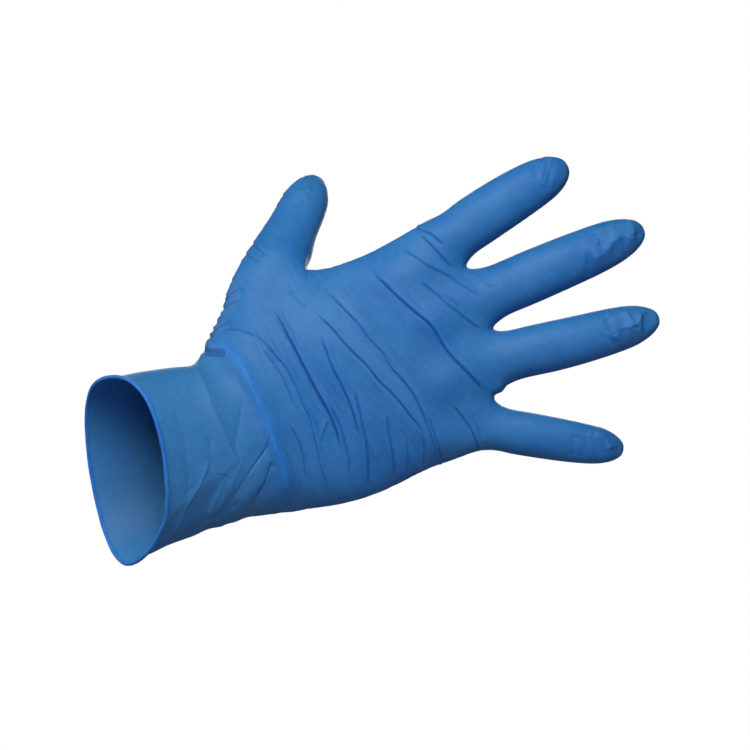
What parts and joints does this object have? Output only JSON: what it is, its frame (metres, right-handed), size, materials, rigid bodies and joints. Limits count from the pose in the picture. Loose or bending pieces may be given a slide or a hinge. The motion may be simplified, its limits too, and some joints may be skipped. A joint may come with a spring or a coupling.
{
  "type": "nitrile exam glove",
  "caption": "Blue thin-film glove for the right hand in its worn form, with spread finger sheaths, a wrinkled wrist and an open cuff with a rolled bead.",
  "frame": {"origin": "centre of the cuff's open mouth, where the hand goes in", "axes": "+X from the cuff to the fingertips along the middle finger, +Y out of the palm (-Y out of the back of the hand), +Z to the thumb's side"},
  "size_m": [0.2608, 0.0927, 0.1654],
  "materials": {
    "nitrile_film": "matte blue nitrile film with a faint sheen and a fine mottled grain"
  },
  "bodies": {
    "root": {"glove": "nitrile_film"}
  },
  "joints": []
}
